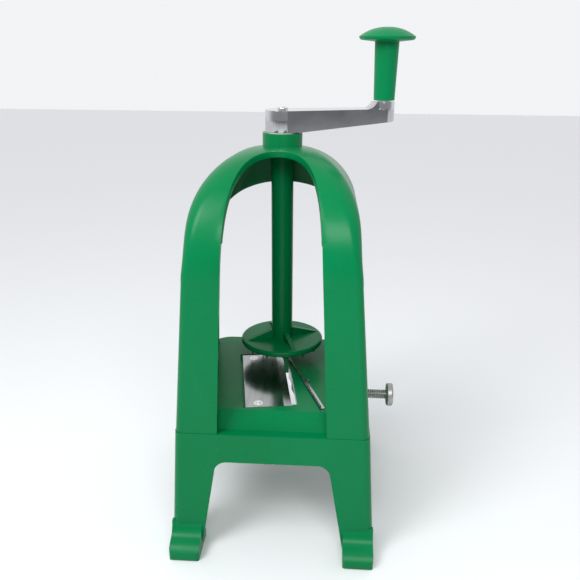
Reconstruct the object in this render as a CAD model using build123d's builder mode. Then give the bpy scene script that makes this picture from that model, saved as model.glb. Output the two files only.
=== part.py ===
"""Hand-cranked vertical vegetable dicer: a moulded base and hood carry a crank-driven
pusher over a straight blade and a clamped comb blade. Millimetres, +X right, +Y back,
+Z up, with the origin on the crank's axis at the height the feet stand on."""

from build123d import *

import os
from math import cos, radians, sin, sqrt

# ---- body: overall sizes ----
FRONT_Y = -90.0  # hood's front face
REAR_Y = 37.0  # hood's rear face at the seam
SEAM_Z = 88.8  # base meets hood
HOOD_HALF_WIDTH = 61.3  # at the seam
HOOD_WALL = 3.2
SIDE_LEAN = 0.083  # the hood's sides lean in this much per mm of height
REAR_LEAN = 0.105
CROWN_Z = 258.6  # top of the hood, above the pivot of its tilt
CROWN_PIVOT_Y = -35.0
CROWN_TILT = 4.5  # degrees that the crown falls towards the rear
STRAIGHT_TOP_Z = 188.0  # below this the hood's walls are flat and level-topped
SHOULDER = (219.0, 35.5)  # height where each side starts to arc over, and how far it comes in
BROW = (192.0, 78.0)  # the same for the front
NAPE = (215.5, 9.0)  # the same for the rear
FRONT_CORNER = 4.0
FRONT_CORNER_GROWTH = 9.0  # added to it by the top of the crown
REAR_CORNER = 20.0
CROWN_STEPS = [0, 8, 18, 28, 38, 48, 58, 68, 78, 86]  # degrees up the crown's arc

# ---- base ----
BASE_STEP = 0.4  # base stands proud of the hood all round
BASE_WALL = 3.4
BASE_HALF_WIDTH = HOOD_HALF_WIDTH + BASE_STEP
FOOT_HALF_WIDTH = 67.6
DECK_Z = 100.2
DECK_THICKNESS = 4.0
DECK_CLEARANCE = 0.35  # raised deck inside the hood's walls
SLOPE_FOOT_Y = -83.5
SLOPE_TOP_Y = -77.7
ARCH_Z = 68.5  # underside of the panels between the legs
ARCH_HALF_WIDTH_TOP = 36.1
ARCH_HALF_WIDTH_FLOOR = 47.5
ARCH_CORNER = 8.5
ARCH_CUT = 200.0  # longer than the base is wide or deep
SIDE_ARCH_INSET_TOP = 26.0
SIDE_ARCH_INSET_FLOOR = 15.0
TOE_WIDTH = 19.9
TOE_OUTER_X = 66.8
TOE_REACH = 14.0
TOE_NOSE_Z = 6.0  # the nose is upright up to here
TOE_TOP = (7.0, 10.8)  # where the hollow instep turns into the rounded toe
TOE_EDGE = 1.0  # bevel along the foot of the nose
TOE_ROUND = 2.4  # rounding of the nose's upright edges
INSTEP_Z = 20.5
INSTEP_INSET = 0.2  # keeps the instep's top just inside the leg's face
SOLE_DEPTH = 12.5
SOLE_HEIGHT = 5.0
DECK_HOLLOW_HALF_WIDTH = 51.4
DECK_HOLLOW_FRONT = -77.0
DECK_HOLLOW_REAR = 28.6

# ---- hood openings ----
WINDOW_FOOT_HALF_WIDTH = 34.6
WINDOW_BEND = (28.8, 212.0)  # half-width and height where the jambs run into the head
WINDOW_HEAD_AXES = (31.0, 90.0)  # head's plan: half an ellipse that opens to the front
WINDOW_HEAD_Y = -120.0  # its centre
REAR_OPEN_FOOT_HALF_WIDTH = 53.0
REAR_OPEN_SPRING_HALF_WIDTH = 47.5
REAR_OPEN_SPRING_Z = 195.0
REAR_OPEN_TOP_Z = 228.6
REAR_OPEN_START_Y = 5.0
CUT_REACH = 60.0  # longer than any wall that a cut goes through

# ---- crank shaft and pusher ----
COLLAR_RADIUS = 13.2
COLLAR_TOP_Z = 264.4
COLLAR_FOOT_Z = 250.3
SHAFT_RADIUS = 7.5
RUNNING_GAP = 0.08
DISC_RADIUS = 29.7
DISC_BOTTOM_Z = 113.4
DISC_TOP_Z = 117.4
DISC_EDGE = 1.6
RIB_ANGLE = 23.0
RIB_HEIGHT = 6.0
RIB_THICKNESS = 3.0
RIB_MARGIN = 2.5
RIB_ROOT = 1.0  # overlap with the shaft and the disc
PRONG_RADIUS = 1.3
PRONG_LENGTH = 4.0
PRONG_ROWS = [(12, 25.5), (6, 12.75)]  # count and circle radius
PRONG_TIP_RADIUS = 0.5
PRONG_BITE = 0.1
PRONG_START = 9.0
ROD_RADIUS = 3.5
ROD_SQUARE = 6.0
ROD_FOOT_Z = 115.5
ROD_TOP_Z = 277.6
CRANK_SCREW_RADIUS = 1.75
CRANK_SCREW_LENGTH = 14.0
CRANK_SCREW_HEAD = 1.6
CRANK_SCREW_HEAD_RADIUS = 3.7
CRANK_SCREW_EDGE = 0.7
LOCK_WASHER_RADIUS = 5.5
THRUST_WASHER_RADIUS = 11.0
LOCK_WASHER_THICKNESS = 0.9
FIT_GAP = 0.03

# ---- crank arm and knob ----
CRANK_LENGTH = 70.0
CRANK_ANGLE = 17.0
HUB_RADIUS = 11.5
HUB_BOTTOM_Z = 265.3
ARM_TOP_Z = 278.8
ARM_END_RADIUS = 7.3
CRANK_BOSS_TOP_Z = 283.5
STEM_FOOT_RADIUS = 7.0
STEM_TOP_RADIUS = 8.0
CAP_RADIUS = 18.4
CAP_BOTTOM_Z = 320.8
CAP_TOP_Z = 329.8
SPINDLE_RADIUS = 3.0
SPINDLE_FOOT_Z = 271.2
SPINDLE_HEAD_Z = 314.0
SPINDLE_HEAD_RADIUS = 5.0
SPINDLE_HEAD_HEIGHT = 2.4
CAP_PLUG = 3.0
CAP_PLUG_GAP = 0.3
CAP_RIM_Z = 324.0
CAP_DOME_MID = (11.4, 327.9)
CAP_LIP_MID = (17.9, 322.5)
CAP_LIP_END = (16.2, 321.7)
KNOB_WASHER_THICKNESS = 0.6
KNOB_WASHER_RADIUS = 6.4
FLARE_RADIUS = 6.0
FLARE_TOP_X = 6.9  # from the knob's axis
FLARE_BACK_X = 2.9
FLARE_DROP = 0.3
FLARE_HALF_WIDTH = 5.3

# ---- straight blade ----
BLADE_CENTRE = (-8.85, -35.75)
BLADE_ANGLE = 8.8
BLADE_WIDTH = 30.0
BLADE_LENGTH = 75.0
BLADE_THICKNESS = 1.6
BLADE_BEVEL = 5.2
BLADE_EDGE = 0.25  # thickness left at the cutting edge
BLADE_SCREW_RADIUS = 1.6
BLADE_SCREW_HEAD_RADIUS = 3.2
BLADE_SCREW_LENGTH = 8.0
INSERT_RADIUS = 2.9
INSERT_LENGTH = 5.0
BOSS_WALL = 2.2
BLADE_SCREWS = [(-6.7, -32.5), (-6.7, 32.5)]
POCKET_GAP = 1.8
POCKET_DEPTH = 3.2
POCKET_END_GAP = 0.2
THROAT_END = 1.0  # the throat stops this far short of the blade's ends
THROAT_WIDTH = 3.6
THROAT_UNDERCUT = 4.2

# ---- comb blade and its clamp ----
COMB_CENTRE = (18.05, -39.25)
COMB_ANGLE = 19.4
COMB_LENGTH = 74.0
COMB_THICKNESS = 0.9
COMB_TOP_Z = 101.4
COMB_BOTTOM_Z = 84.5
COMB_GULLET_Z = 100.9
COMB_STEP = 0.8
COMB_TOOTH = [(0.5, 0.0), (1.2, 1.6), (1.7, 1.6), (2.4, 0.0)]  # a tooth, along and up
COMB_TOOTH_PITCH = 3.0
COMB_TEETH = 12
HOLDER_THICKNESS = 2.2
HOLDER_TOP_Z = 100.7
HOLDER_START = -3.0
TAB_LENGTH = 3.0
TAB_HEIGHT = 1.4
TAB_REACH = 1.9
RAIL_THICKNESS = 2.4
RAIL_REACH = 20.0
RIVET_RADIUS = 1.5
RIVET_SPOTS = [(9.0, 92.0), (29.0, 92.0)]
SLOT_GAP = 0.3
CLAMP_Y = -38.0
CLAMP_Z = 92.6
STUD_RADIUS = 3.175
STUD_END_X = 74.9
STUD_TIP_X = 24.0
STUD_HOLE_RADIUS = 3.5
STUD_TIP_BEVEL = 0.6
STUD_NOTCH_X = 50.0
SHOE_DEPTH = 6.0
SHOE_SOCKET = 4.5
SHOE_WIDTH = 9.0
SHOE_FOOT_Z = 87.0
SHOE_TOP_Z = 95.9
SHOE_CUT = 20.0
CLAMP_HEAD_RADIUS = 7.7
CLAMP_HEAD_THICKNESS = 4.4
CLAMP_HEAD_EDGE = 1.1
NUT_WIDTH = 10.0
NUT_THICKNESS = 5.0
NUT_X = 46.5
NUT_GAP = 0.3
NUT_BOX_HALF_WIDTH = 8.0
NUT_BOX_DROP = 4.8  # how far the nut's box hangs below the seam
NUT_BOX_LIP = 1.0
NUT_BOX_BITE = 0.5  # overlap with the deck's side wall
STUD_HOLE_LENGTH = 12.0

# ---- screws that hold the hood down ----
POST_RADIUS = 4.2
POST_TOP_Z = 104.0
POST_SPOTS = [(53.6, -83.2), (-53.6, -83.2), (54.6, 18.0), (-54.6, 18.0)]
POST_SEAT_Z = 84.0
BODY_SCREW_RADIUS = 1.75
BODY_SCREW_TOP_Z = 100.0
SEAT_RADIUS = 6.0
WEB_X = (45.0, 52.2)  # webs that tie the seats to the deck
WEB_AHEAD = 6.5
WEB_BEHIND = 7.5
WEB_FRONT_LIMIT = -79.0
BODY_SCREW_HEAD = 2.4
BODY_SCREW_HEAD_RADIUS = 3.5
CROSS_SPAN = 3.2  # cross recess in a screw head
CROSS_WIDTH = 0.8
CROSS_DEPTH = 1.2
SCREW_CLEARANCE = 0.3

os.makedirs("parts", exist_ok=True)


def rounded_plan(half_width, front, rear, front_radius, rear_radius):
    """Rectangle from y = front to y = rear with its front and rear corners rounded."""
    with Locations((0, (front + rear) / 2)):
        Rectangle(2 * half_width, rear - front)
    fillet(vertices().group_by(Axis.Y)[0], front_radius)
    fillet(vertices().group_by(Axis.Y)[-1], rear_radius)


def wall_reach(z, foot, lean, arc, inset):
    """How far a leaning wall that arcs over into the crown stands out at height z."""
    start_z, depth = arc
    reach = foot - inset - lean * (z - SEAM_Z)
    if z > start_z:
        share = (z - start_z) / (CROWN_Z - inset - start_z)
        reach -= depth * (1 - sqrt(1 - share**2))
    return reach


def hood_section(z, inset):
    """The hood's plan at one height, set in from its outer face, in a plane that tilts
    more and more towards the rear above the straight walls."""
    half_width = wall_reach(z, HOOD_HALF_WIDTH, SIDE_LEAN, SHOULDER, inset)
    front = -wall_reach(z, -FRONT_Y, 0, BROW, inset)
    rear = wall_reach(z, REAR_Y, REAR_LEAN, NAPE, inset)
    rise = max(z - STRAIGHT_TOP_Z, 0) / (CROWN_Z - STRAIGHT_TOP_Z)
    front_radius = min(FRONT_CORNER + FRONT_CORNER_GROWTH * rise - 0.9 * inset, 0.85 * half_width)
    rear_radius = min(REAR_CORNER - inset, 0.85 * half_width)
    tilt = radians(CROWN_TILT * rise)
    plane = Plane(
        origin=(0, CROWN_PIVOT_Y, z), x_dir=(1, 0, 0), z_dir=(0, sin(tilt), cos(tilt))
    )
    with BuildSketch(plane) as section:
        rounded_plan(
            half_width, front - CROWN_PIVOT_Y, rear - CROWN_PIVOT_Y, front_radius, rear_radius
        )
    return section.sketch.face()


def hood_bulk(inset, mode):
    """Straight walls up to the shoulders, then a crown that arcs over on all sides."""
    rise = CROWN_Z - inset - STRAIGHT_TOP_Z
    crown = [STRAIGHT_TOP_Z + rise * sin(radians(step)) for step in CROWN_STEPS]
    walls = [hood_section(z, inset) for z in (SEAM_Z, STRAIGHT_TOP_Z)]
    loft(walls, ruled=True, mode=mode)
    loft([hood_section(z, inset) for z in crown], mode=mode)


def cross_recess(turn=0):
    """Outline of a screw head's cross recess."""
    Rectangle(CROSS_SPAN, CROSS_WIDTH, rotation=turn)
    Rectangle(CROSS_WIDTH, CROSS_SPAN, rotation=turn)


def ring_sketch(outer, inner):
    """Flat ring, for washers and bushed holes."""
    Circle(outer)
    Circle(inner, mode=Mode.SUBTRACT)


# ---- hood: arched casing with the collar that guides the shaft ----
with BuildPart() as hood:
    hood_bulk(0, Mode.ADD)
    hood_bulk(HOOD_WALL, Mode.SUBTRACT)
    # front window: leaning jambs, then a long round head that runs back over the brow
    with BuildSketch(Plane.XZ.offset(-FRONT_Y - CUT_REACH / 2)):
        with BuildLine():
            jamb = Line((WINDOW_FOOT_HALF_WIDTH, SEAM_Z), WINDOW_BEND)
            Polyline(jamb @ 1, (0, WINDOW_BEND[1]), (0, SEAM_Z), jamb @ 0)
        make_face()
        mirror(about=Plane.YZ)
    extrude(amount=CUT_REACH, mode=Mode.SUBTRACT)
    with BuildSketch(Plane.XY.offset(WINDOW_BEND[1])):
        with Locations((0, WINDOW_HEAD_Y)):
            Ellipse(*WINDOW_HEAD_AXES)
    extrude(amount=CUT_REACH, mode=Mode.SUBTRACT)
    # rear opening, an arch almost as wide as the hood
    with BuildSketch(Plane.XZ.offset(-REAR_OPEN_START_Y)):
        with BuildLine():
            spring = (REAR_OPEN_SPRING_HALF_WIDTH, REAR_OPEN_SPRING_Z)
            cheek = Line((REAR_OPEN_FOOT_HALF_WIDTH, SEAM_Z), spring)
            arch = EllipticalCenterArc(
                (0, REAR_OPEN_SPRING_Z),
                REAR_OPEN_SPRING_HALF_WIDTH,
                REAR_OPEN_TOP_Z - REAR_OPEN_SPRING_Z,
                start_angle=0,
                arc_size=90,
            )
            Polyline(arch @ 1, (0, SEAM_Z), cheek @ 0)
        make_face()
        mirror(about=Plane.YZ)
    extrude(amount=-CUT_REACH, mode=Mode.SUBTRACT)
    # collar, and posts that the body screws pull down on to the base
    with BuildSketch(Plane.XY.offset(COLLAR_FOOT_Z)):
        Circle(COLLAR_RADIUS)
    extrude(amount=COLLAR_TOP_Z - COLLAR_FOOT_Z)
    with BuildSketch(Plane.XY.offset(SEAM_Z)):
        with Locations(*POST_SPOTS):
            Circle(POST_RADIUS)
    extrude(amount=POST_TOP_Z - SEAM_Z)
    with BuildSketch(Plane.XY.offset(COLLAR_FOOT_Z)):
        Circle(SHAFT_RADIUS + RUNNING_GAP)
    extrude(amount=COLLAR_TOP_Z - COLLAR_FOOT_Z, mode=Mode.SUBTRACT)
    with BuildSketch(Plane.XY.offset(SEAM_Z)):
        with Locations(*POST_SPOTS):
            Circle(BODY_SCREW_RADIUS + FIT_GAP)
    extrude(amount=BODY_SCREW_TOP_Z + 1 - SEAM_Z, mode=Mode.SUBTRACT)
    # notch that drops over the clamp stud
    with BuildSketch(Plane.YZ.offset(STUD_NOTCH_X)):
        with Locations((CLAMP_Y, CLAMP_Z)):
            Circle(STUD_HOLE_RADIUS)
        with Locations((CLAMP_Y, (SEAM_Z + CLAMP_Z) / 2)):
            Rectangle(2 * STUD_HOLE_RADIUS, CLAMP_Z - SEAM_Z)
    extrude(amount=CUT_REACH, mode=Mode.SUBTRACT)

# ---- base: four legs, panels between them and the raised deck ----
blade_plane = Plane(
    origin=(*BLADE_CENTRE, DECK_Z),
    x_dir=(cos(radians(BLADE_ANGLE)), sin(radians(BLADE_ANGLE)), 0),
    z_dir=(0, 0, 1),
)
comb_along = Vector(sin(radians(COMB_ANGLE)), -cos(radians(COMB_ANGLE)), 0)
comb_across = Vector(cos(radians(COMB_ANGLE)), sin(radians(COMB_ANGLE)), 0)
comb_plane = Plane(origin=(*COMB_CENTRE, DECK_Z), x_dir=comb_along, z_dir=(0, 0, 1))
comb_upright = Plane(origin=(*COMB_CENTRE, 0), x_dir=comb_along, z_dir=-comb_across)
deck_under_z = DECK_Z - DECK_THICKNESS
half_length = BLADE_LENGTH / 2
half_width = BLADE_WIDTH / 2
blade_screw_tops = [blade_plane.location * Location((x, y, 0)) for x, y in BLADE_SCREWS]


def strip(x_low, x_high, y_low, y_high, mode=Mode.ADD):
    """Rectangle given by its edges."""
    with Locations(((x_low + x_high) / 2, (y_low + y_high) / 2)):
        Rectangle(x_high - x_low, y_high - y_low, mode=mode)


def base_sections(inset, low_z, high_z):
    """Plans of the tapered base at two heights, set in from its outer face."""
    faces = []
    for z in (low_z, high_z):
        lean = (FOOT_HALF_WIDTH - BASE_HALF_WIDTH) * (SEAM_Z - z) / SEAM_Z
        with BuildSketch(Plane.XY.offset(z)) as section:
            rounded_plan(
                BASE_HALF_WIDTH + lean - inset,
                FRONT_Y - BASE_STEP + inset,
                REAR_Y + BASE_STEP - inset,
                FRONT_CORNER + BASE_STEP - inset,
                REAR_CORNER + BASE_STEP - inset,
            )
        faces.append(section.sketch.face())
    return faces


def deck_sections():
    """Plans of the raised deck at the seam and at its top, clear of the hood's walls."""
    inset = HOOD_WALL + DECK_CLEARANCE
    faces = []
    for z, front in ((SEAM_Z, SLOPE_FOOT_Y), (DECK_Z, SLOPE_TOP_Y)):
        half_width = wall_reach(z, HOOD_HALF_WIDTH, SIDE_LEAN, SHOULDER, inset)
        rear = wall_reach(z, REAR_Y, REAR_LEAN, NAPE, inset)
        with BuildSketch(Plane.XY.offset(z)) as section:
            rounded_plan(half_width, front, rear, 1.5, REAR_CORNER - inset)
        faces.append(section.sketch.face())
    return faces


with BuildPart() as base:
    loft(base_sections(0, 0, SEAM_Z), ruled=True)
    loft(deck_sections(), ruled=True)
    loft(base_sections(BASE_WALL, -1, SEAM_Z - BASE_WALL), ruled=True, mode=Mode.SUBTRACT)
    with BuildSketch(Plane.XY.offset(SEAM_Z - BASE_WALL - 1)):
        rounded_plan(DECK_HOLLOW_HALF_WIDTH, DECK_HOLLOW_FRONT, DECK_HOLLOW_REAR, 2, 13)
    extrude(amount=deck_under_z - SEAM_Z + BASE_WALL + 1, mode=Mode.SUBTRACT)
    # arches between the legs, front to back and side to side
    with BuildSketch(Plane.XZ.offset(ARCH_CUT / 2)):
        with BuildLine():
            Polyline(
                (-ARCH_HALF_WIDTH_FLOOR, 0),
                (-ARCH_HALF_WIDTH_TOP, ARCH_Z),
                (ARCH_HALF_WIDTH_TOP, ARCH_Z),
                (ARCH_HALF_WIDTH_FLOOR, 0),
                close=True,
            )
        make_face()
        fillet(vertices().group_by(Axis.Y)[-1], ARCH_CORNER)
    extrude(amount=-ARCH_CUT, mode=Mode.SUBTRACT)
    with BuildSketch(Plane.YZ.offset(-ARCH_CUT / 2)):
        with BuildLine():
            front = FRONT_Y - BASE_STEP
            rear = REAR_Y + BASE_STEP
            Polyline(
                (front + SIDE_ARCH_INSET_FLOOR, 0),
                (front + SIDE_ARCH_INSET_TOP, ARCH_Z),
                (rear - SIDE_ARCH_INSET_TOP, ARCH_Z),
                (rear - SIDE_ARCH_INSET_FLOOR, 0),
                close=True,
            )
        make_face()
        fillet(vertices().group_by(Axis.Y)[-1], ARCH_CORNER)
    extrude(amount=ARCH_CUT, mode=Mode.SUBTRACT)
    # feet: a toe that reaches out from each leg, on a solid sole
    for end_y, out in ((front, -1), (rear, 1)):
        for start_x in (TOE_OUTER_X, -TOE_OUTER_X + TOE_WIDTH):
            side_plane = Plane(
                origin=(start_x - (out + 1) / 2 * TOE_WIDTH, end_y, 0),
                x_dir=(0, out, 0),
                z_dir=(out, 0, 0),
            )
            with BuildSketch(side_plane):
                with BuildLine():
                    tread = Polyline(
                        (-SOLE_DEPTH, 0), (TOE_REACH - TOE_EDGE, 0), (TOE_REACH, TOE_EDGE)
                    )
                    instep = TangentArc((-INSTEP_INSET, INSTEP_Z), TOE_TOP, tangent=(0, -1))
                    brow = TangentArc(TOE_TOP, (TOE_REACH, TOE_NOSE_Z), tangent=instep % 1)
                    Line(tread @ 1, brow @ 1)
                    Polyline(
                        instep @ 0,
                        (-BASE_WALL + INSTEP_INSET, INSTEP_Z),
                        (-BASE_WALL + INSTEP_INSET, SOLE_HEIGHT),
                        (-SOLE_DEPTH, SOLE_HEIGHT),
                        tread @ 0,
                    )
                make_face()
            extrude(amount=TOE_WIDTH)
    upright = edges().filter_by(Axis.Z)
    for nose_y in (front - TOE_REACH, rear + TOE_REACH):
        fillet(upright.filter_by_position(Axis.Y, nose_y, nose_y), TOE_ROUND)
    # seats for the body screws under the ledge, and clearance for the hood's posts
    with BuildSketch(Plane.XY.offset(POST_SEAT_Z)):
        with Locations(*POST_SPOTS):
            Circle(SEAT_RADIUS)
    extrude(amount=SEAM_Z - BASE_WALL - POST_SEAT_Z)
    with BuildSketch(Plane.XY.offset(POST_SEAT_Z)):
        for side in (-1, 1):
            for _, y in POST_SPOTS[1:3]:
                low_y = max(y - WEB_AHEAD, WEB_FRONT_LIMIT)
                strip(*sorted((side * WEB_X[0], side * WEB_X[1])), low_y, y + WEB_BEHIND)
    extrude(amount=deck_under_z - POST_SEAT_Z)
    with BuildSketch(Plane.XY.offset(SEAM_Z)):
        with Locations(*POST_SPOTS):
            Circle(POST_RADIUS + DECK_CLEARANCE)
    extrude(amount=POST_TOP_Z - SEAM_Z, mode=Mode.SUBTRACT)
    with BuildSketch(Plane.XY.offset(POST_SEAT_Z)):
        with Locations(*POST_SPOTS):
            Circle(BODY_SCREW_RADIUS + SCREW_CLEARANCE)
    extrude(amount=SEAM_Z - POST_SEAT_Z, mode=Mode.SUBTRACT)
    # bosses under the straight blade and the rail that backs the comb
    with BuildSketch(blade_plane.offset(-DECK_THICKNESS)):
        with Locations(*BLADE_SCREWS):
            Circle(INSERT_RADIUS + BOSS_WALL)
    extrude(amount=-INSERT_LENGTH)
    rail_face = -COMB_THICKNESS / 2 - SLOT_GAP
    with BuildSketch(comb_plane.offset(-DECK_THICKNESS)):
        strip(-RAIL_REACH, COMB_LENGTH / 2, rail_face - RAIL_THICKNESS, rail_face)
    extrude(amount=-(deck_under_z - COMB_BOTTOM_Z))
    # box that keeps the clamp nut from turning
    with BuildSketch(Plane.YZ.offset(NUT_X - NUT_BOX_LIP)):
        strip(
            CLAMP_Y - NUT_BOX_HALF_WIDTH,
            CLAMP_Y + NUT_BOX_HALF_WIDTH,
            SEAM_Z - NUT_BOX_DROP,
            deck_under_z,
        )
    extrude(amount=DECK_HOLLOW_HALF_WIDTH - NUT_X + NUT_BOX_LIP + NUT_BOX_BITE)
    with BuildSketch(Plane.YZ.offset(NUT_X - NUT_BOX_LIP)):
        with Locations((CLAMP_Y, CLAMP_Z)):
            Rectangle(NUT_WIDTH + NUT_GAP, NUT_WIDTH + NUT_GAP)
    extrude(amount=NUT_THICKNESS + NUT_BOX_LIP, mode=Mode.SUBTRACT)
    with BuildSketch(Plane.YZ.offset(NUT_X)):
        with Locations((CLAMP_Y, CLAMP_Z)):
            Circle(STUD_HOLE_RADIUS)
    extrude(amount=STUD_HOLE_LENGTH, mode=Mode.SUBTRACT)
    # pocket for the straight blade, with a gutter on two sides, and the throat
    pocket_ends = (-half_length - POCKET_END_GAP, half_length + POCKET_GAP)
    with BuildSketch(blade_plane):
        strip(-half_width - POCKET_GAP, half_width, *pocket_ends)
    extrude(amount=-BLADE_THICKNESS, mode=Mode.SUBTRACT)
    with BuildSketch(blade_plane):
        strip(-half_width - POCKET_GAP, -half_width, *pocket_ends)
        strip(-half_width, half_width, half_length, half_length + POCKET_GAP)
    extrude(amount=-POCKET_DEPTH, mode=Mode.SUBTRACT)
    with BuildSketch(blade_plane):
        strip(
            half_width - THROAT_UNDERCUT,
            half_width + THROAT_WIDTH,
            -half_length + THROAT_END,
            half_length - THROAT_END,
        )
    extrude(amount=-DECK_THICKNESS - 1, mode=Mode.SUBTRACT)
    with BuildSketch(blade_plane):
        with Locations(*BLADE_SCREWS):
            Circle(INSERT_RADIUS)
    extrude(amount=-DECK_THICKNESS - INSERT_LENGTH, mode=Mode.SUBTRACT)
    # slot for the comb and its holder
    slot_end = COMB_LENGTH / 2 + SLOT_GAP
    with BuildSketch(comb_plane):
        strip(-slot_end, slot_end, rail_face, COMB_THICKNESS / 2 + SLOT_GAP)
        strip(
            HOLDER_START - SLOT_GAP,
            slot_end,
            rail_face,
            COMB_THICKNESS / 2 + HOLDER_THICKNESS + SLOT_GAP,
        )
        strip(
            HOLDER_START - SLOT_GAP,
            HOLDER_START + TAB_LENGTH + SLOT_GAP,
            0,
            COMB_THICKNESS / 2 + HOLDER_THICKNESS + TAB_REACH + SLOT_GAP,
        )
    extrude(amount=-DECK_THICKNESS - 1, mode=Mode.SUBTRACT)

# ---- screws that hold the hood to the base ----
with BuildPart() as frame_screws:
    with BuildSketch(Plane.XY.offset(POST_SEAT_Z)):
        with Locations(*POST_SPOTS):
            Circle(BODY_SCREW_RADIUS)
    extrude(amount=BODY_SCREW_TOP_Z - POST_SEAT_Z)
    with BuildSketch(Plane.XY.offset(POST_SEAT_Z)):
        with Locations(*POST_SPOTS):
            Circle(BODY_SCREW_HEAD_RADIUS)
    extrude(amount=-BODY_SCREW_HEAD)
    with BuildSketch(Plane.XY.offset(POST_SEAT_Z - BODY_SCREW_HEAD)):
        with Locations(*POST_SPOTS):
            cross_recess()
    extrude(amount=CROSS_DEPTH, mode=Mode.SUBTRACT)

# ---- plunger: shaft, ribbed pusher disc and the prongs that grip the food ----
with BuildPart() as plunger:
    with BuildSketch(Plane.XY.offset(DISC_BOTTOM_Z)):
        Circle(DISC_RADIUS)
    extrude(amount=DISC_TOP_Z - DISC_BOTTOM_Z)
    fillet(edges().filter_by(GeomType.CIRCLE), DISC_EDGE)
    with BuildSketch(Plane.XY.offset(DISC_TOP_Z)):
        Circle(SHAFT_RADIUS)
    extrude(amount=HUB_BOTTOM_Z - FIT_GAP - DISC_TOP_Z)
    for quarter in range(4):
        rib_angle = radians(RIB_ANGLE + 90 * quarter)
        rib_plane = Plane(
            origin=(0, 0, DISC_TOP_Z),
            x_dir=(cos(rib_angle), sin(rib_angle), 0),
            z_dir=(sin(rib_angle), -cos(rib_angle), 0),
        )
        with BuildSketch(rib_plane):
            with BuildLine():
                Polyline(
                    (SHAFT_RADIUS - RIB_ROOT, -RIB_ROOT),
                    (SHAFT_RADIUS - RIB_ROOT, RIB_HEIGHT),
                    (SHAFT_RADIUS + RIB_ROOT, RIB_HEIGHT),
                    (DISC_RADIUS - RIB_MARGIN, 0),
                    (DISC_RADIUS - RIB_MARGIN, -RIB_ROOT),
                    close=True,
                )
            make_face()
        extrude(amount=RIB_THICKNESS / 2, both=True)
    for count, circle_radius in PRONG_ROWS:
        for index in range(count):
            angle = radians(PRONG_START + 360 / count * index)
            middle_z = DISC_BOTTOM_Z - PRONG_LENGTH / 2 + PRONG_BITE
            with Locations((circle_radius * cos(angle), circle_radius * sin(angle), middle_z)):
                Cone(PRONG_TIP_RADIUS, PRONG_RADIUS, PRONG_LENGTH + 2 * PRONG_BITE)
    with BuildSketch(Plane.XY.offset(ROD_FOOT_Z - FIT_GAP)):
        Circle(ROD_RADIUS + FIT_GAP)
    extrude(amount=HUB_BOTTOM_Z - ROD_FOOT_Z, mode=Mode.SUBTRACT)

# ---- core rod: stiffens the plastic shaft and carries the crank on its square ----
with BuildPart() as core_rod:
    with BuildSketch(Plane.XY.offset(ROD_FOOT_Z)):
        Circle(ROD_RADIUS)
    extrude(amount=HUB_BOTTOM_Z - FIT_GAP - ROD_FOOT_Z)
    with BuildSketch(Plane.XY.offset(HUB_BOTTOM_Z - FIT_GAP)):
        Rectangle(ROD_SQUARE, ROD_SQUARE, rotation=CRANK_ANGLE)
        Circle(ROD_RADIUS, mode=Mode.INTERSECT)
    extrude(amount=ROD_TOP_Z - HUB_BOTTOM_Z)
    with BuildSketch(Plane.XY.offset(ROD_TOP_Z - CRANK_SCREW_LENGTH)):
        Circle(CRANK_SCREW_RADIUS + FIT_GAP)
    extrude(amount=CRANK_SCREW_LENGTH, mode=Mode.SUBTRACT)

# ---- washer that the crank's hub turns on ----
with BuildPart() as thrust_washer:
    with BuildSketch(Plane.XY.offset(COLLAR_TOP_Z + FIT_GAP)):
        ring_sketch(THRUST_WASHER_RADIUS, SHAFT_RADIUS + RUNNING_GAP)
    extrude(amount=HUB_BOTTOM_Z - COLLAR_TOP_Z - 2 * FIT_GAP)

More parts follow.
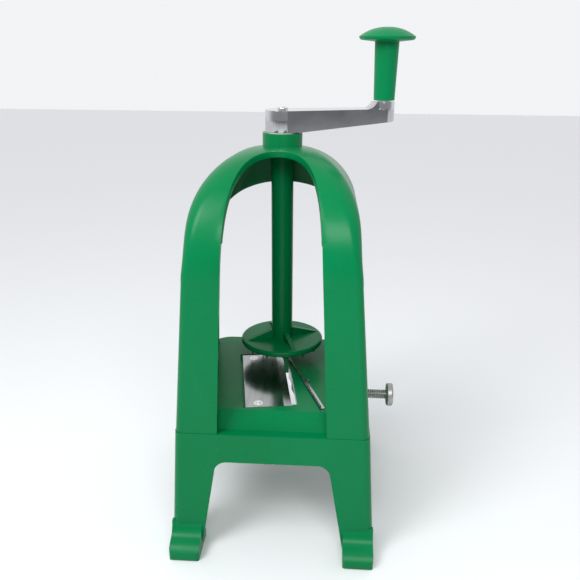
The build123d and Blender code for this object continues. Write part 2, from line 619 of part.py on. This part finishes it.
# ---- crank arm ----
crank_plane = Plane.XY.rotated((0, 0, CRANK_ANGLE))
crank_side = Plane(
    origin=(0, 0, 0),
    x_dir=(cos(radians(CRANK_ANGLE)), sin(radians(CRANK_ANGLE)), 0),
    z_dir=(sin(radians(CRANK_ANGLE)), -cos(radians(CRANK_ANGLE)), 0),
)
knob_spot = (
    CRANK_LENGTH * cos(radians(CRANK_ANGLE)),
    CRANK_LENGTH * sin(radians(CRANK_ANGLE)),
)
with BuildPart() as crank_arm:
    with BuildSketch(crank_plane.offset(HUB_BOTTOM_Z)):
        Circle(HUB_RADIUS)
        with Locations((CRANK_LENGTH, 0)):
            Circle(ARM_END_RADIUS)
        make_hull()
    extrude(amount=ARM_TOP_Z - HUB_BOTTOM_Z)
    with BuildSketch(crank_side):
        with BuildLine():
            Polyline(
                (HUB_RADIUS, HUB_BOTTOM_Z),
                (CRANK_LENGTH + 2 * ARM_END_RADIUS, SPINDLE_FOOT_Z),
                (CRANK_LENGTH + 2 * ARM_END_RADIUS, HUB_BOTTOM_Z - 1),
                (HUB_RADIUS, HUB_BOTTOM_Z - 1),
                close=True,
            )
        make_face()
    extrude(amount=2 * HUB_RADIUS, both=True, mode=Mode.SUBTRACT)
    with BuildSketch(crank_plane.offset(ARM_TOP_Z - 1)):
        with Locations((CRANK_LENGTH, 0)):
            Circle(ARM_END_RADIUS)
    extrude(amount=CRANK_BOSS_TOP_Z - ARM_TOP_Z + 1)
    # flare where the arm rises to the boss
    with BuildSketch(crank_side):
        with BuildLine():
            flare_start = (CRANK_LENGTH - ARM_END_RADIUS - FLARE_RADIUS, ARM_TOP_Z)
            flare_end = (CRANK_LENGTH - FLARE_TOP_X, CRANK_BOSS_TOP_Z - FLARE_DROP)
            flare_back = CRANK_LENGTH - FLARE_BACK_X
            TangentArc(flare_start, flare_end, tangent=(1, 0))
            Polyline(
                flare_end,
                (flare_back, flare_end[1]),
                (flare_back, ARM_TOP_Z - 1),
                (flare_start[0], ARM_TOP_Z - 1),
                flare_start,
            )
        make_face()
    extrude(amount=FLARE_HALF_WIDTH, both=True)
    with BuildSketch(Plane.XY.offset(HUB_BOTTOM_Z)):
        Rectangle(ROD_SQUARE + 2 * FIT_GAP, ROD_SQUARE + 2 * FIT_GAP, rotation=CRANK_ANGLE)
    extrude(amount=CUT_REACH, mode=Mode.SUBTRACT)
    with BuildSketch(Plane.XY.offset(ARM_TOP_Z - LOCK_WASHER_THICKNESS)):
        Circle(LOCK_WASHER_RADIUS + FIT_GAP)
    extrude(amount=CUT_REACH, mode=Mode.SUBTRACT)
    with BuildSketch(Plane.XY.offset(HUB_BOTTOM_Z)):
        with Locations(knob_spot):
            Circle(SPINDLE_RADIUS + FIT_GAP)
    extrude(amount=CUT_REACH, mode=Mode.SUBTRACT)

# ---- screw and washer on top of the hub ----
with BuildPart() as crank_lock_washer:
    with BuildSketch(Plane.XY.offset(ARM_TOP_Z - LOCK_WASHER_THICKNESS)):
        ring_sketch(LOCK_WASHER_RADIUS, CRANK_SCREW_RADIUS + RUNNING_GAP)
    extrude(amount=LOCK_WASHER_THICKNESS)
with BuildPart() as crank_screw:
    with BuildSketch(Plane.XY.offset(ARM_TOP_Z)):
        Circle(CRANK_SCREW_RADIUS)
    extrude(amount=-CRANK_SCREW_LENGTH)
    with BuildSketch(Plane.XY.offset(ARM_TOP_Z)):
        Circle(CRANK_SCREW_HEAD_RADIUS)
    extrude(amount=CRANK_SCREW_HEAD)
    fillet(faces().sort_by(Axis.Z)[-1].edges(), CRANK_SCREW_EDGE)
    with BuildSketch(Plane.XY.offset(ARM_TOP_Z + CRANK_SCREW_HEAD)):
        cross_recess(CRANK_ANGLE)
    extrude(amount=-CROSS_DEPTH, mode=Mode.SUBTRACT)

# ---- turning knob on its spindle ----
sleeve_foot_z = CRANK_BOSS_TOP_Z + KNOB_WASHER_THICKNESS + FIT_GAP
with BuildPart() as knob_washer:
    with BuildSketch(Plane.XY.offset(CRANK_BOSS_TOP_Z)):
        with Locations(knob_spot):
            ring_sketch(KNOB_WASHER_RADIUS, SPINDLE_RADIUS + RUNNING_GAP)
    extrude(amount=KNOB_WASHER_THICKNESS)
with BuildPart() as knob_spindle:
    with BuildSketch(Plane.XY.offset(SPINDLE_FOOT_Z)):
        with Locations(knob_spot):
            Circle(SPINDLE_RADIUS)
    extrude(amount=SPINDLE_HEAD_Z - SPINDLE_FOOT_Z)
    with BuildSketch(Plane.XY.offset(SPINDLE_HEAD_Z)):
        with Locations(knob_spot):
            Circle(SPINDLE_HEAD_RADIUS)
    extrude(amount=SPINDLE_HEAD_HEIGHT)
with BuildPart() as knob_sleeve:
    with BuildSketch(Plane.XY.offset(sleeve_foot_z)):
        with Locations(knob_spot):
            Circle(STEM_FOOT_RADIUS)
    with BuildSketch(Plane.XY.offset(CAP_BOTTOM_Z)):
        with Locations(knob_spot):
            Circle(STEM_TOP_RADIUS)
    loft()
    with BuildSketch(Plane.XY.offset(sleeve_foot_z)):
        with Locations(knob_spot):
            Circle(SPINDLE_RADIUS + RUNNING_GAP)
    extrude(amount=CAP_BOTTOM_Z - sleeve_foot_z, mode=Mode.SUBTRACT)
    with BuildSketch(Plane.XY.offset(SPINDLE_HEAD_Z - RUNNING_GAP)):
        with Locations(knob_spot):
            Circle(SPINDLE_HEAD_RADIUS + CAP_PLUG_GAP)
    extrude(amount=CAP_BOTTOM_Z - SPINDLE_HEAD_Z + RUNNING_GAP, mode=Mode.SUBTRACT)
with BuildPart() as knob_cap:
    with BuildSketch(Plane(origin=(*knob_spot, 0), x_dir=(1, 0, 0), z_dir=(0, -1, 0))):
        with BuildLine():
            plug_radius = SPINDLE_HEAD_RADIUS + CAP_PLUG_GAP - FIT_GAP
            dome = ThreePointArc((0, CAP_TOP_Z), CAP_DOME_MID, (CAP_RADIUS, CAP_RIM_Z))
            lip = ThreePointArc(dome @ 1, CAP_LIP_MID, CAP_LIP_END)
            Polyline(
                lip @ 1,
                (STEM_TOP_RADIUS, CAP_BOTTOM_Z),
                (plug_radius, CAP_BOTTOM_Z),
                (plug_radius, CAP_BOTTOM_Z - CAP_PLUG),
                (0, CAP_BOTTOM_Z - CAP_PLUG),
                (0, CAP_TOP_Z),
            )
        make_face()
    revolve(axis=Axis((*knob_spot, 0), (0, 0, 1)))

# ---- straight blade, its screws and the inserts they bite into ----
with BuildPart() as straight_blade:
    with BuildSketch(blade_plane.offset(-BLADE_THICKNESS)):
        Rectangle(BLADE_WIDTH, BLADE_LENGTH)
        with Locations(*BLADE_SCREWS):
            Circle(BLADE_SCREW_RADIUS + SCREW_CLEARANCE, mode=Mode.SUBTRACT)
    extrude(amount=BLADE_THICKNESS)
    bevel_plane = Plane(origin=blade_plane.origin, x_dir=blade_plane.x_dir, z_dir=-blade_plane.y_dir)
    with BuildSketch(bevel_plane):
        with BuildLine():
            Polyline(
                (half_width - BLADE_BEVEL, 0),
                (half_width + 1, 0),
                (half_width + 1, -BLADE_THICKNESS),
                (half_width, BLADE_EDGE - BLADE_THICKNESS),
                close=True,
            )
        make_face()
    extrude(amount=half_length + 1, both=True, mode=Mode.SUBTRACT)
    with Locations(*blade_screw_tops):
        CounterSinkHole(
            BLADE_SCREW_RADIUS + SCREW_CLEARANCE,
            BLADE_SCREW_HEAD_RADIUS + RUNNING_GAP,
            counter_sink_angle=90,
        )
with BuildPart() as blade_screws:
    with Locations(*blade_screw_tops):
        Cone(
            BLADE_SCREW_RADIUS,
            BLADE_SCREW_HEAD_RADIUS,
            BLADE_SCREW_HEAD_RADIUS - BLADE_SCREW_RADIUS,
            align=(Align.CENTER, Align.CENTER, Align.MAX),
        )
        Cylinder(
            BLADE_SCREW_RADIUS,
            BLADE_SCREW_LENGTH,
            align=(Align.CENTER, Align.CENTER, Align.MAX),
        )
    with BuildSketch(blade_plane):
        with Locations(*BLADE_SCREWS):
            cross_recess()
    extrude(amount=-CROSS_DEPTH, mode=Mode.SUBTRACT)
with BuildPart() as blade_inserts:
    with BuildSketch(blade_plane.offset(-BLADE_THICKNESS - POCKET_END_GAP)):
        with Locations(*BLADE_SCREWS):
            Circle(INSERT_RADIUS - FIT_GAP)
            Circle(BLADE_SCREW_RADIUS + FIT_GAP, mode=Mode.SUBTRACT)
    extrude(amount=BLADE_THICKNESS + 2 * POCKET_END_GAP - DECK_THICKNESS - INSERT_LENGTH)

# ---- comb blade with its holder and rivets ----
tooth_start = COMB_LENGTH / 2 - COMB_TEETH * COMB_TOOTH_PITCH
with BuildPart() as comb_blade:
    with BuildSketch(comb_upright):
        with BuildLine():
            outline = [(-COMB_LENGTH / 2, COMB_BOTTOM_Z), (-COMB_LENGTH / 2, COMB_TOP_Z)]
            outline += [(tooth_start - COMB_STEP, COMB_TOP_Z), (tooth_start, COMB_GULLET_Z)]
            for tooth in range(COMB_TEETH):
                x = tooth_start + COMB_TOOTH_PITCH * tooth
                for offset, height in COMB_TOOTH:
                    outline.append((x + offset, COMB_GULLET_Z + height))
            outline += [(COMB_LENGTH / 2, COMB_GULLET_Z), (COMB_LENGTH / 2, COMB_BOTTOM_Z)]
            Polyline(*outline, close=True)
        make_face()
        with Locations(*RIVET_SPOTS):
            Circle(RIVET_RADIUS + FIT_GAP, mode=Mode.SUBTRACT)
    extrude(amount=COMB_THICKNESS / 2, both=True)
holder_plane = comb_upright.offset(-COMB_THICKNESS / 2)
with BuildPart() as comb_holder:
    with BuildSketch(holder_plane):
        strip(HOLDER_START, COMB_LENGTH / 2, COMB_BOTTOM_Z, HOLDER_TOP_Z)
        with Locations(*RIVET_SPOTS):
            Circle(RIVET_RADIUS + FIT_GAP, mode=Mode.SUBTRACT)
    extrude(amount=-HOLDER_THICKNESS)
    with BuildSketch(holder_plane.offset(-HOLDER_THICKNESS)):
        strip(HOLDER_START, HOLDER_START + TAB_LENGTH, HOLDER_TOP_Z - TAB_HEIGHT, HOLDER_TOP_Z)
    extrude(amount=-TAB_REACH)
with BuildPart() as comb_rivets:
    with BuildSketch(comb_upright.offset(COMB_THICKNESS / 2)):
        with Locations(*RIVET_SPOTS):
            Circle(RIVET_RADIUS)
    extrude(amount=-COMB_THICKNESS - HOLDER_THICKNESS)

# ---- clamp: thumbscrew, its captive nut and the shoe that presses on the comb ----
with BuildPart() as clamp_nut:
    with BuildSketch(Plane.YZ.offset(NUT_X)):
        with Locations((CLAMP_Y, CLAMP_Z)):
            Rectangle(NUT_WIDTH, NUT_WIDTH)
            Circle(STUD_RADIUS + RUNNING_GAP, mode=Mode.SUBTRACT)
    extrude(amount=NUT_THICKNESS - FIT_GAP)
with BuildPart() as clamp_stud:
    with BuildSketch(Plane.YZ.offset(STUD_TIP_X)):
        with Locations((CLAMP_Y, CLAMP_Z)):
            Circle(STUD_RADIUS)
    extrude(amount=STUD_END_X - STUD_TIP_X)
    chamfer(faces().sort_by(Axis.X)[0].edges(), STUD_TIP_BEVEL)
with BuildPart() as clamp_head:
    with BuildSketch(Plane.YZ.offset(STUD_END_X)):
        with Locations((CLAMP_Y, CLAMP_Z)):
            Circle(CLAMP_HEAD_RADIUS)
    extrude(amount=CLAMP_HEAD_THICKNESS)
    fillet(edges().filter_by(GeomType.CIRCLE), CLAMP_HEAD_EDGE)
with BuildPart() as clamp_shoe:
    with BuildSketch(Plane.YZ.offset(STUD_TIP_X - SHOE_DEPTH)):
        strip(CLAMP_Y - SHOE_WIDTH / 2, CLAMP_Y + SHOE_WIDTH / 2, SHOE_FOOT_Z, SHOE_TOP_Z)
    extrude(amount=SHOE_DEPTH + SHOE_SOCKET)
    back_of_holder = COMB_THICKNESS / 2 + HOLDER_THICKNESS + FIT_GAP
    with BuildSketch(comb_plane):
        strip(-SHOE_CUT, SHOE_CUT, back_of_holder - SHOE_CUT, back_of_holder)
    extrude(amount=-SHOE_CUT, mode=Mode.SUBTRACT)
    with BuildSketch(Plane.YZ.offset(STUD_TIP_X - FIT_GAP)):
        with Locations((CLAMP_Y, CLAMP_Z)):
            Circle(STUD_RADIUS + FIT_GAP)
    extrude(amount=SHOE_SOCKET + 1, mode=Mode.SUBTRACT)

pieces = {
    "base": base,
    "hood": hood,
    "frame_screws": frame_screws,
    "plunger": plunger,
    "core_rod": core_rod,
    "thrust_washer": thrust_washer,
    "crank_arm": crank_arm,
    "crank_lock_washer": crank_lock_washer,
    "crank_screw": crank_screw,
    "knob_washer": knob_washer,
    "knob_spindle": knob_spindle,
    "knob_sleeve": knob_sleeve,
    "knob_cap": knob_cap,
    "straight_blade": straight_blade,
    "blade_screws": blade_screws,
    "blade_inserts": blade_inserts,
    "comb_blade": comb_blade,
    "comb_holder": comb_holder,
    "comb_rivets": comb_rivets,
    "clamp_nut": clamp_nut,
    "clamp_stud": clamp_stud,
    "clamp_head": clamp_head,
    "clamp_shoe": clamp_shoe,
}
for name, piece in pieces.items():
    piece.part.label = name
    export_step(piece.part, f"parts/{name}.step")
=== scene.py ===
"""Looks of the hand-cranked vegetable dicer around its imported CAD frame. Metres, +Z up."""

import math

import bpy
from mathutils import Matrix, Vector


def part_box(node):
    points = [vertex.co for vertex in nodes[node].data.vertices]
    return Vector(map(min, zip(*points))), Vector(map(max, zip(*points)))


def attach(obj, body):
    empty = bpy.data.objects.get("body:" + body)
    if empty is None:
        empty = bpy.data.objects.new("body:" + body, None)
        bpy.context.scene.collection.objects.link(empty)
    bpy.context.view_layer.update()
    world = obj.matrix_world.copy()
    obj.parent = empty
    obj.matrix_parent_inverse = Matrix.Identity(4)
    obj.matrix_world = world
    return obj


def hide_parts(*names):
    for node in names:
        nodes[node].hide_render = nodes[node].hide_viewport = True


MM = 0.001

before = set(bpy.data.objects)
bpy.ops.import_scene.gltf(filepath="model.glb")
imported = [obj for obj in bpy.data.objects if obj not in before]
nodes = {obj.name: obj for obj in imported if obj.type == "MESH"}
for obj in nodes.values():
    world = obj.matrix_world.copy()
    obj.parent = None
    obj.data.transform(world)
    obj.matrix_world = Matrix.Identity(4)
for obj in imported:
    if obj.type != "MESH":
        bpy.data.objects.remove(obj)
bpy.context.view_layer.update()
scene = bpy.context.scene


# ---- materials ----
def new_material(name):
    """Material with a node tree; returns it, its nodes, its links and its shader."""
    material = bpy.data.materials.new(name)
    material.use_nodes = True
    tree = material.node_tree
    return material, tree.nodes, tree.links, tree.nodes["Principled BSDF"]


def add_node(tree_nodes, kind, **values):
    """Node with the inputs named in values set."""
    node = tree_nodes.new(kind)
    for name, value in values.items():
        node.inputs[name].default_value = value
    return node


def object_noise(tree_nodes, links, scale, detail=3.0, stretch=(1, 1, 1)):
    """Noise in object space, stretched along the axes."""
    place = tree_nodes.new("ShaderNodeTexCoord")
    mapping = tree_nodes.new("ShaderNodeMapping")
    mapping.inputs["Scale"].default_value = stretch
    noise = add_node(tree_nodes, "ShaderNodeTexNoise", Scale=scale, Detail=detail)
    links.new(place.outputs["Object"], mapping.inputs["Vector"])
    links.new(mapping.outputs["Vector"], noise.inputs["Vector"])
    return noise


def ramp(tree_nodes, links, factor, stops):
    """Colour ramp through stops of (position, colour)."""
    node = tree_nodes.new("ShaderNodeValToRGB")
    elements = node.color_ramp.elements
    while len(elements) < len(stops):
        elements.new(0.5)
    for element, (position, colour) in zip(elements, stops):
        element.position = position
        element.color = (*colour, 1)
    links.new(factor, node.inputs["Fac"])
    return node


def to_range(tree_nodes, links, value, low, high, from_low=0.0, from_high=1.0):
    """Maps from_low..from_high to low..high, and holds the ends beyond it."""
    node = tree_nodes.new("ShaderNodeMapRange")
    node.inputs["From Min"].default_value = from_low
    node.inputs["From Max"].default_value = from_high
    node.inputs["To Min"].default_value = low
    node.inputs["To Max"].default_value = high
    links.new(value, node.inputs["Value"])
    return node


def bump(tree_nodes, links, shader, height, distance, strength=1.0):
    """Bump from a height, with distance in metres."""
    node = add_node(tree_nodes, "ShaderNodeBump", Strength=strength, Distance=distance)
    links.new(height, node.inputs["Height"])
    links.new(node.outputs["Normal"], shader.inputs["Normal"])


# scale and detail of each noise, and the share of it where a colour ramp starts and ends
FLOW_NOISE = (14, 4)
FLOW_STRETCH = (1, 1, 0.35)
RUB_NOISE = (25, 3)
GRAIN_NOISE = (900, 2)
STREAK_DETAIL = 5
RAMP_START, RAMP_END = 0.3, 0.7
GRAIN_DEPTH = 0.02 * MM
GRAIN_STRENGTH = 0.12
SCRATCH_STRENGTH = 0.5
PLASTIC_IOR = 1.4
PLASTIC_SPECULAR = 0.2


def plastic(name, dark, light, roughness=(0.22, 0.34)):
    """Glossy moulded plastic with flow marks, fine grain and rubbed patches."""
    material, tree_nodes, links, shader = new_material(name)
    flow = object_noise(tree_nodes, links, *FLOW_NOISE, FLOW_STRETCH)
    colour = ramp(tree_nodes, links, flow.outputs["Fac"], [(RAMP_START, dark), (RAMP_END, light)])
    links.new(colour.outputs["Color"], shader.inputs["Base Color"])
    rub = object_noise(tree_nodes, links, *RUB_NOISE)
    rough = to_range(tree_nodes, links, rub.outputs["Fac"], *roughness)
    links.new(rough.outputs["Result"], shader.inputs["Roughness"])
    grain = object_noise(tree_nodes, links, *GRAIN_NOISE)
    bump(tree_nodes, links, shader, grain.outputs["Fac"], GRAIN_DEPTH, GRAIN_STRENGTH)
    shader.inputs["IOR"].default_value = PLASTIC_IOR
    shader.inputs["Specular IOR Level"].default_value = PLASTIC_SPECULAR
    return material


def metal(name, dark, light, roughness, scratch_scale, stretch, depth):
    """Bare metal with scratches drawn out along one way."""
    material, tree_nodes, links, shader = new_material(name)
    streaks = object_noise(tree_nodes, links, scratch_scale, STREAK_DETAIL, stretch)
    colour = ramp(tree_nodes, links, streaks.outputs["Fac"], [(RAMP_START, dark), (RAMP_END, light)])
    links.new(colour.outputs["Color"], shader.inputs["Base Color"])
    rough = to_range(tree_nodes, links, streaks.outputs["Fac"], *roughness)
    links.new(rough.outputs["Result"], shader.inputs["Roughness"])
    bump(tree_nodes, links, shader, streaks.outputs["Fac"], depth, SCRATCH_STRENGTH)
    shader.inputs["Metallic"].default_value = 1.0
    return material


# dark and light tone of each colour, then its roughness from and to
GREEN_DARK = (0.0, 0.155, 0.045)
GREEN_LIGHT = (0.0, 0.185, 0.06)
casing_green = plastic("casing_green", GREEN_DARK, GREEN_LIGHT)
pusher_green = plastic("pusher_green", GREEN_DARK, GREEN_LIGHT, (0.2, 0.3))
knob_green = plastic("knob_green", (0.0, 0.19, 0.06), (0.0, 0.22, 0.075), (0.25, 0.4))

# dark tone, light tone, roughness, scratch scale, stretch along the axes, scratch depth
EVEN = (1, 1, 1)
FINE_SCRATCH = 0.01 * MM
METALS = {
    "polished_casting": ((0.6, 0.6, 0.62), (0.68, 0.68, 0.7), (0.06, 0.13), 90, EVEN, 0.003 * MM),
    "plated": ((0.7, 0.7, 0.7), (0.85, 0.85, 0.85), (0.12, 0.25), 300, EVEN, FINE_SCRATCH),
    "rod_steel": ((0.5, 0.5, 0.5), (0.7, 0.7, 0.7), (0.25, 0.4), 300, (1, 1, 0.1), FINE_SCRATCH),
    "blade_steel": ((0.34, 0.36, 0.35), (0.48, 0.5, 0.49), (0.12, 0.22), 300, (1, 0.06, 1), 0.006 * MM),
    "comb_steel": ((0.45, 0.45, 0.46), (0.65, 0.65, 0.66), (0.2, 0.38), 300, EVEN, FINE_SCRATCH),
    "dull_zinc": ((0.34, 0.34, 0.33), (0.5, 0.5, 0.49), (0.35, 0.55), 400, EVEN, 0.02 * MM),
    "brass": ((0.6, 0.42, 0.16), (0.75, 0.56, 0.24), (0.25, 0.4), 300, EVEN, FINE_SCRATCH),
}
metals = {name: metal(name, *values) for name, values in METALS.items()}
nylon = plastic("nylon", (0.62, 0.6, 0.54), (0.72, 0.7, 0.64), (0.4, 0.55))

finishes = {
    "base": casing_green,
    "hood": casing_green,
    "plunger": pusher_green,
    "knob_sleeve": knob_green,
    "knob_cap": knob_green,
    "crank_arm": metals["polished_casting"],
    "crank_screw": metals["plated"],
    "crank_lock_washer": metals["plated"],
    "knob_washer": metals["plated"],
    "frame_screws": metals["plated"],
    "blade_screws": metals["plated"],
    "core_rod": metals["rod_steel"],
    "knob_spindle": metals["rod_steel"],
    "thrust_washer": nylon,
    "straight_blade": metals["blade_steel"],
    "blade_inserts": metals["brass"],
    "comb_blade": metals["comb_steel"],
    "comb_holder": metals["comb_steel"],
    "comb_rivets": metals["comb_steel"],
    "clamp_nut": metals["dull_zinc"],
    "clamp_stud": metals["dull_zinc"],
    "clamp_head": metals["dull_zinc"],
    "clamp_shoe": metals["dull_zinc"],
}
for name, material in finishes.items():
    nodes[name].data.materials.clear()
    nodes[name].data.materials.append(material)


# ---- clamp stud with a visible thread, in place of the plain CAD cylinder ----
THREAD_PITCH = 1.27 * MM
THREAD_DEPTH = 0.55 * MM
PLAIN_TIP = 3.0 * MM
STEPS_PER_PITCH = 8
THREAD_SIDES = 48
FLANK_START = 1.5  # the ridge is flat-topped, and its flanks fall to the root from here
FLANK_SLOPE = 3.3


def threaded_stud(name, low, high):
    """Right-handed screw thread along X inside the box from low to high, with a plain tip at the low end."""
    centre_y, centre_z = (low[1] + high[1]) / 2, (low[2] + high[2]) / 2
    crest = min(high[1] - low[1], high[2] - low[2]) / 2
    rings = round((high[0] - low[0]) / THREAD_PITCH * STEPS_PER_PITCH)
    points, faces = [], []
    for ring in range(rings + 1):
        along = (high[0] - low[0]) * ring / rings
        grown = min(max((along - PLAIN_TIP) / THREAD_PITCH, 0.0), 1.0)
        for side in range(THREAD_SIDES):
            turn = side / THREAD_SIDES
            phase = (along / THREAD_PITCH - turn) % 1.0
            ridge = min(1.0, max(0.0, FLANK_START - FLANK_SLOPE * abs(phase - 0.5)))
            radius = crest - THREAD_DEPTH * (1.0 - ridge * grown)
            angle = math.tau * turn
            across = centre_y + radius * math.cos(angle)
            points.append((low[0] + along, across, centre_z + radius * math.sin(angle)))
    for ring in range(rings):
        for side in range(THREAD_SIDES):
            here = ring * THREAD_SIDES + side
            beside = ring * THREAD_SIDES + (side + 1) % THREAD_SIDES
            faces.append((here, beside, beside + THREAD_SIDES, here + THREAD_SIDES))
    faces.append(tuple(reversed(range(THREAD_SIDES))))
    faces.append(tuple(range(rings * THREAD_SIDES, (rings + 1) * THREAD_SIDES)))
    mesh = bpy.data.meshes.new(name)
    mesh.from_pydata(points, [], faces)
    mesh.shade_smooth()
    mesh.materials.append(metals["dull_zinc"])
    item = bpy.data.objects.new(name, mesh)
    scene.collection.objects.link(item)
    return item


stud = threaded_stud("threaded_stud", *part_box("clamp_stud"))
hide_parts("clamp_stud")
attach(stud, "thumbscrew")


# ---- softened edges on the moulded and cast pieces ----
EDGE_ROUNDING = {"hood": 0.7, "crank_arm": 0.8}  # radius in mm
WELD_GAP = 0.002 * MM
ROUNDING_STEPS = 3
SHARP_ANGLE = math.radians(38)
for name, radius in EDGE_ROUNDING.items():
    weld = nodes[name].modifiers.new("weld", "WELD")
    weld.merge_threshold = WELD_GAP
    rounding = nodes[name].modifiers.new("rounding", "BEVEL")
    rounding.width = radius * MM
    rounding.segments = ROUNDING_STEPS
    rounding.limit_method = "ANGLE"
    rounding.angle_limit = SHARP_ANGLE
    rounding.harden_normals = True


# ---- studio ----
FLOOR_SIZE = 6.0
FLOOR_ROUGHNESS = 0.6
# the floor's dark tone far in front is painted shade; its pale tone nearer the object is the evenly bright
# floor
FLOOR_PAINTED_SHADE_FROM, FLOOR_PALE_FROM = -2.2, -0.7
FLOOR_PAINTED_SHADE_TONES = [(0.0, (0.1, 0.1, 0.1)), (1.0, (0.79, 0.79, 0.8))]
SKY_TONES = [
    (0.05, (0.3, 0.31, 0.32)),
    (0.3, (0.36, 0.37, 0.38)),
    (0.48, (0.7, 0.72, 0.75)),
    (0.62, (0.89, 0.9, 0.92)),
]
SUN_STRENGTH = 0.95
SUN_WIDTH = math.radians(30)
SUN_WAY = Vector((0.45, 0.5, -1.0))


def plane_object(name, size, material):
    """Square sheet on the floor's level."""
    half = size / 2
    mesh = bpy.data.meshes.new(name)
    corners = [(-half, -half, 0), (half, -half, 0), (half, half, 0), (-half, half, 0)]
    mesh.from_pydata(corners, [], [(0, 1, 2, 3)])
    item = bpy.data.objects.new(name, mesh)
    scene.collection.objects.link(item)
    mesh.materials.append(material)
    return item


# painted shade: the floor is painted dark far in front of the object, standing in for the dim room on the
# viewer's side, where the crank's face mirrors it
floor_with_painted_shade, floor_nodes, floor_links, floor_shader = new_material("floor_with_painted_shade")
floor_place = floor_nodes.new("ShaderNodeTexCoord")
floor_split = floor_nodes.new("ShaderNodeSeparateXYZ")
floor_links.new(floor_place.outputs["Object"], floor_split.inputs["Vector"])
floor_depth = to_range(
    floor_nodes, floor_links, floor_split.outputs["Y"], 0.0, 1.0, FLOOR_PAINTED_SHADE_FROM, FLOOR_PALE_FROM
)
floor_shade_tone = ramp(floor_nodes, floor_links, floor_depth.outputs["Result"], FLOOR_PAINTED_SHADE_TONES)
floor_links.new(floor_shade_tone.outputs["Color"], floor_shader.inputs["Base Color"])
floor_shader.inputs["Roughness"].default_value = FLOOR_ROUGHNESS
floor = plane_object("floor", FLOOR_SIZE, floor_with_painted_shade)

# pale surroundings that darken towards the viewer's side of the room
world = bpy.data.worlds.new("studio")
scene.world = world
world.use_nodes = True
sky_nodes, sky_links = world.node_tree.nodes, world.node_tree.links
way = sky_nodes.new("ShaderNodeTexCoord")
split = sky_nodes.new("ShaderNodeSeparateXYZ")
sky_links.new(way.outputs["Generated"], split.inputs["Vector"])
towards_back = to_range(sky_nodes, sky_links, split.outputs["Y"], 0.0, 1.0, -1.0, 1.0)
sky = ramp(sky_nodes, sky_links, towards_back.outputs["Result"], SKY_TONES)
sky_links.new(sky.outputs["Color"], sky_nodes["Background"].inputs["Color"])


def area_light(name, place, target, size, power, colour=(1, 1, 1)):
    """Rectangular soft light at place, aimed at target."""
    light = bpy.data.lights.new(name, "AREA")
    light.shape = "RECTANGLE"
    light.size, light.size_y = size
    light.energy = power
    light.color = colour
    item = bpy.data.objects.new(name, light)
    item.location = place
    item.rotation_euler = (Vector(target) - Vector(place)).to_track_quat("-Z", "Y").to_euler()
    scene.collection.objects.link(item)


sun_data = bpy.data.lights.new("sun", "SUN")
sun_data.energy = SUN_STRENGTH
sun_data.angle = SUN_WIDTH
sun = bpy.data.objects.new("sun", sun_data)
sun.rotation_euler = SUN_WAY.to_track_quat("-Z", "Y").to_euler()
scene.collection.objects.link(sun)
area_light("crown", (-0.32, -0.38, 0.62), (0, 0, 0.25), (0.22, 0.3), 1.9, (0.92, 0.98, 1.0))
area_light("front", (0.08, -0.52, 0.56), (0, 0, 0.2), (0.3, 0.2), 1.9, (0.95, 1.0, 0.98))

# ---- camera ----
FOCAL_SHARE = 650 / 580  # focal length over picture width
SENSOR_WIDTH = 36.0
CLIP_START = 0.01
CAMERA_PLACE = Vector((31.4, -437.2, 317.5)) * MM
LOOK_TURN = (-0.0588, 0.9983)
CAMERA_PITCH = math.radians(20.55)
CAMERA_ROLL = math.radians(0.4)
camera_data = bpy.data.cameras.new("camera")
camera_data.sensor_width = SENSOR_WIDTH
camera_data.lens = SENSOR_WIDTH * FOCAL_SHARE
camera_data.clip_start = CLIP_START
camera = bpy.data.objects.new("camera", camera_data)
level = math.cos(CAMERA_PITCH)
look = Vector((LOOK_TURN[0] * level, LOOK_TURN[1] * level, -math.sin(CAMERA_PITCH)))
turned = look.to_track_quat("-Z", "Y").to_matrix().to_4x4() @ Matrix.Rotation(CAMERA_ROLL, 4, "Z")
camera.matrix_world = Matrix.Translation(CAMERA_PLACE) @ turned
scene.collection.objects.link(camera)
scene.camera = camera
scene.view_settings.view_transform = "Standard"

bpy.context.view_layer.update()
